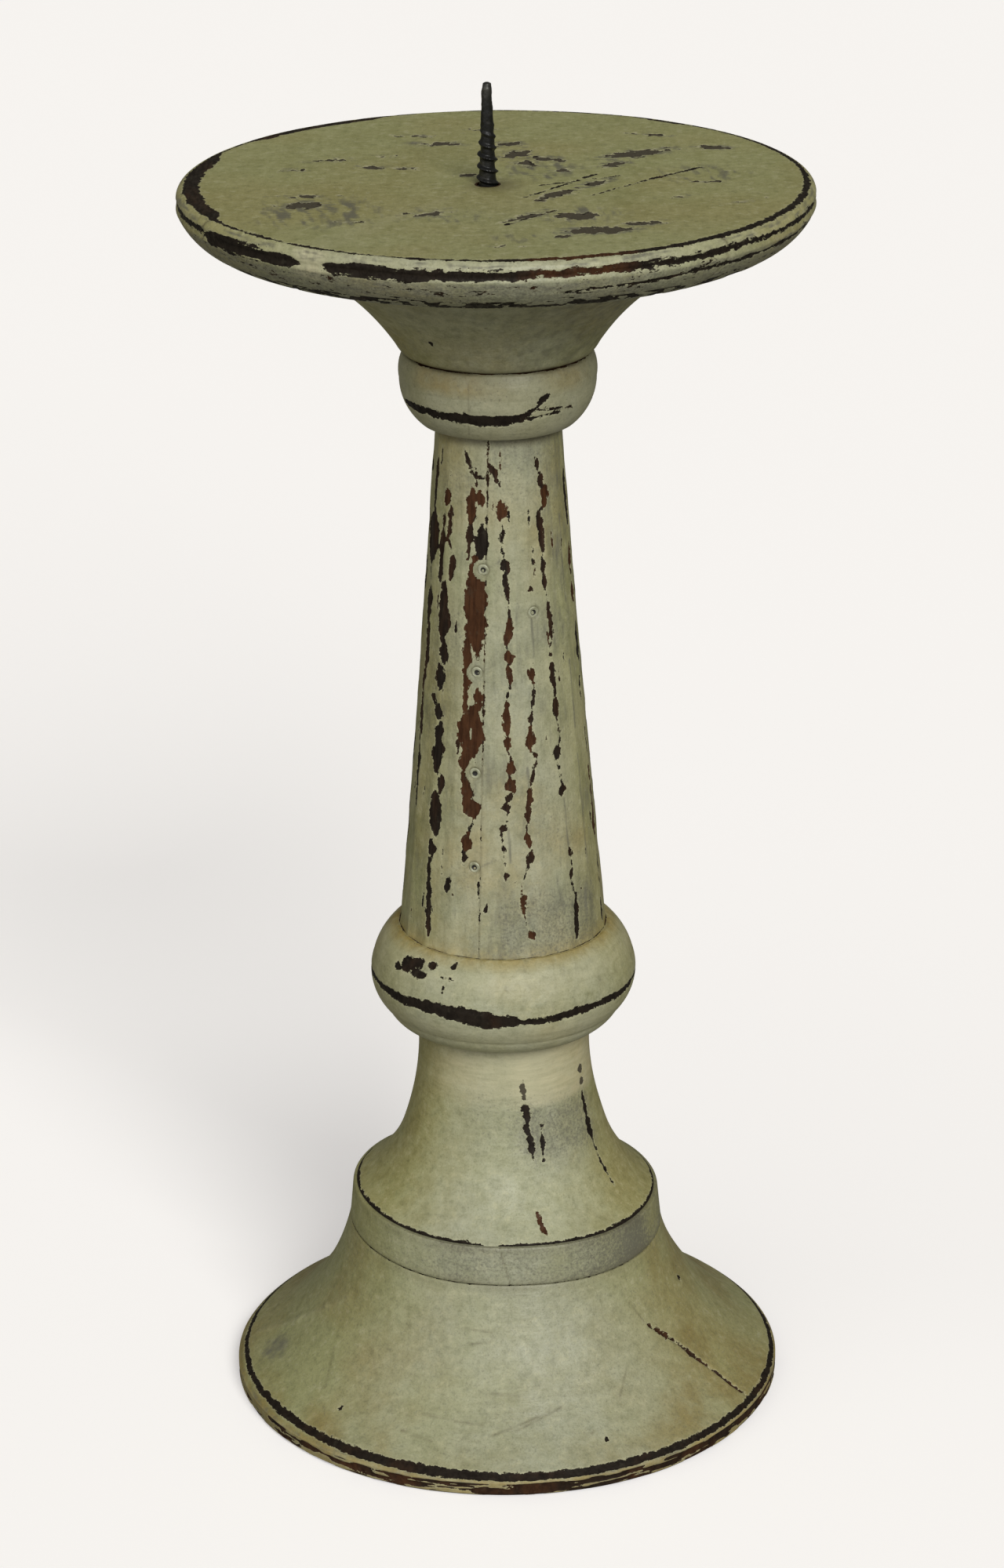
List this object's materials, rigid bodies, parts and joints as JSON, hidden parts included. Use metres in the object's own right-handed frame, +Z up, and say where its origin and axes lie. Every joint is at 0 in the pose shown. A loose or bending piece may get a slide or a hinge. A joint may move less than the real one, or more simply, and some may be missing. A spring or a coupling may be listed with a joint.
{
  "type": "candlestick",
  "caption": "Turned wooden pricket candlestick with a wide round drip pan, a tapering faceted column and a bell foot, in worn painted finish.",
  "frame": {"origin": "centre of the foot's flat underside, on the surface it stands on", "axes": "+Z up along the turning axis, towards the pricket; the front, with the column's glue line, faces -Y"},
  "size_m": [0.1734, 0.1734, 0.39],
  "materials": {
    "painted_wood": "chipped sage-green chalk paint over dark stained wood",
    "blackened_iron": "blackened, slightly greyed at the point",
    "dowel_wood": "bare",
    "brad_steel": "painted over, dark where chipped"
  },
  "bodies": {
    "root": {"pan_front_board": "painted_wood", "pan_back_board": "painted_wood", "pricket_screw": "blackened_iron", "pan_dowels": "dowel_wood", "capital_cove": "painted_wood", "capital_ring_left": "painted_wood", "capital_ring_right": "painted_wood", "capital_dowel": "dowel_wood", "column_left_board": "painted_wood", "column_right_board": "painted_wood", "column_brads": "brad_steel", "lower_ring": "painted_wood", "ring_dowel": "dowel_wood", "pedestal": "painted_wood", "band_left": "painted_wood", "band_right": "painted_wood", "foot_dowel": "dowel_wood", "foot_front_board": "painted_wood", "foot_back_board": "painted_wood"}
  },
  "joints": []
}
